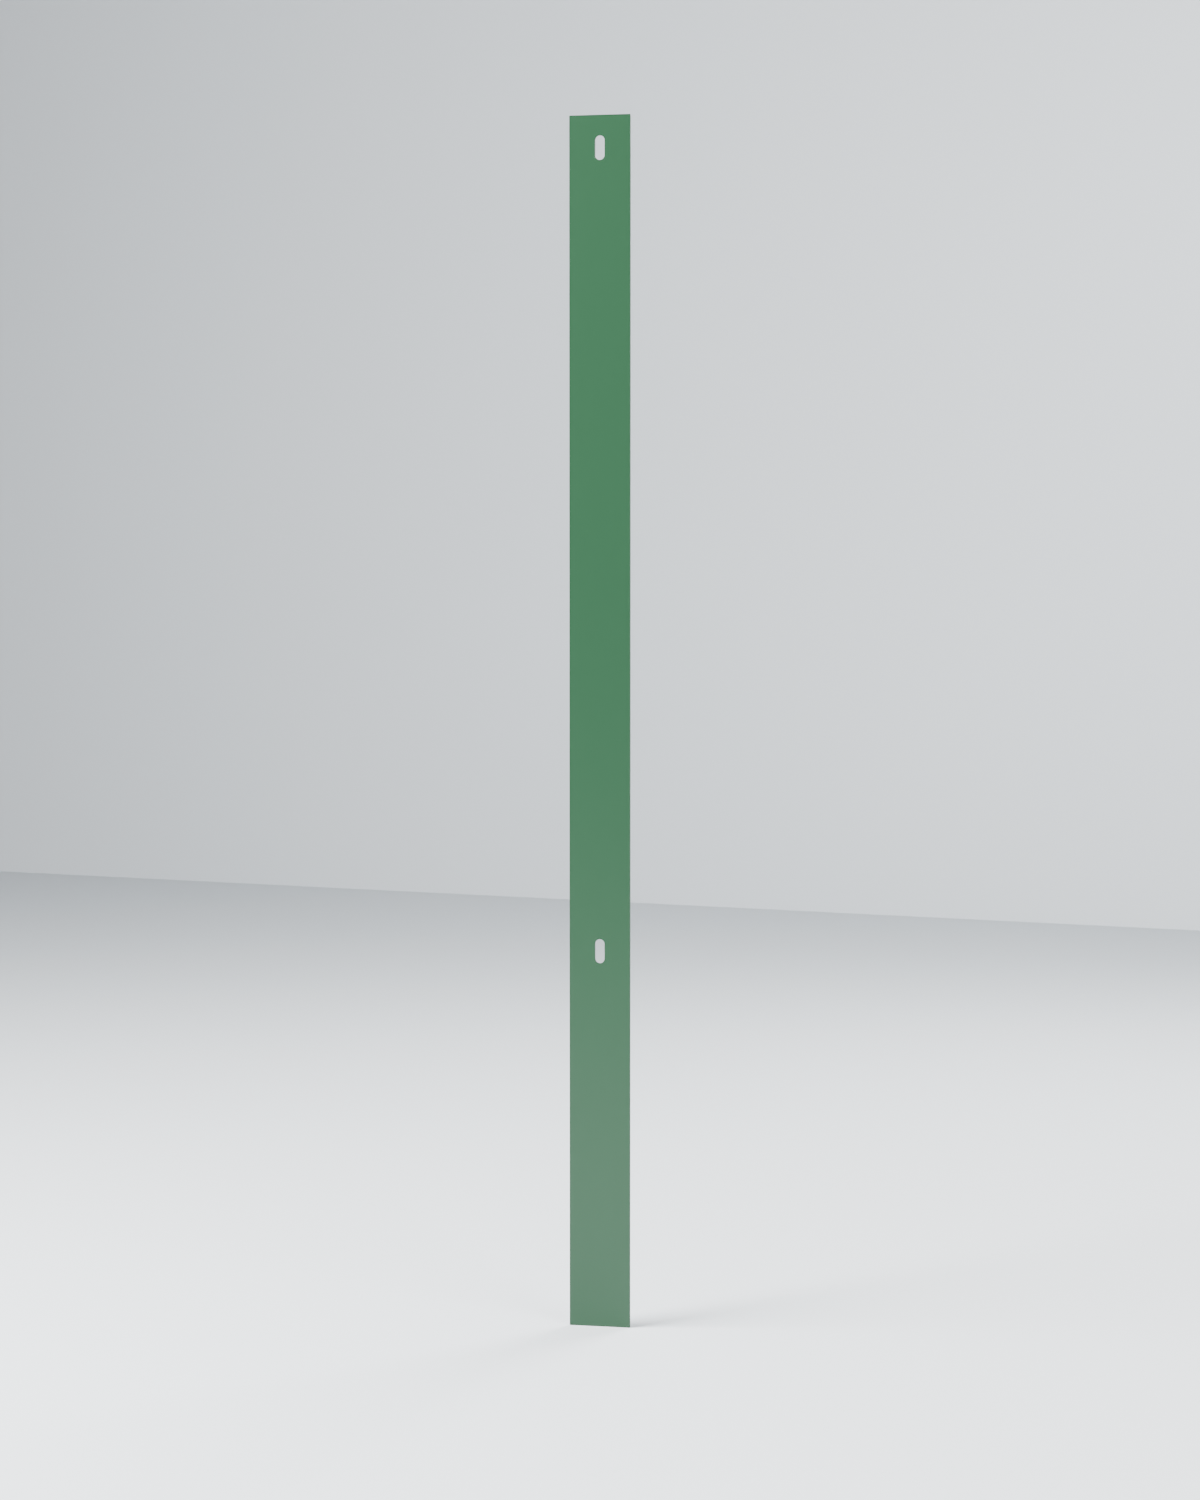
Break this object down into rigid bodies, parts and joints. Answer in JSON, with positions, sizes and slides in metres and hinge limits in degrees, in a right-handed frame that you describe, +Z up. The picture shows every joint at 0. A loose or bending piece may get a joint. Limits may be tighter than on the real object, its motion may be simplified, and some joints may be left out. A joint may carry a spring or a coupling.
{
  "type": "delineator post",
  "caption": "Flat delineator post that marks a road edge: a tall, thin painted steel strip with upright bolt slots near its top and about a third of the way up.",
  "frame": {"origin": "centre of the foot end, at the bottom of the post", "axes": "+Z up along the post, X across the width, -Y out of the front face, +Y out of the back face"},
  "size_m": [0.077, 0.003, 1.5],
  "materials": {
    "green_paint": "smooth semi-gloss green paint over flat steel strip, on the faces, the edges and the slot walls alike"
  },
  "bodies": {
    "root": {"blade": "green_paint"}
  },
  "joints": []
}
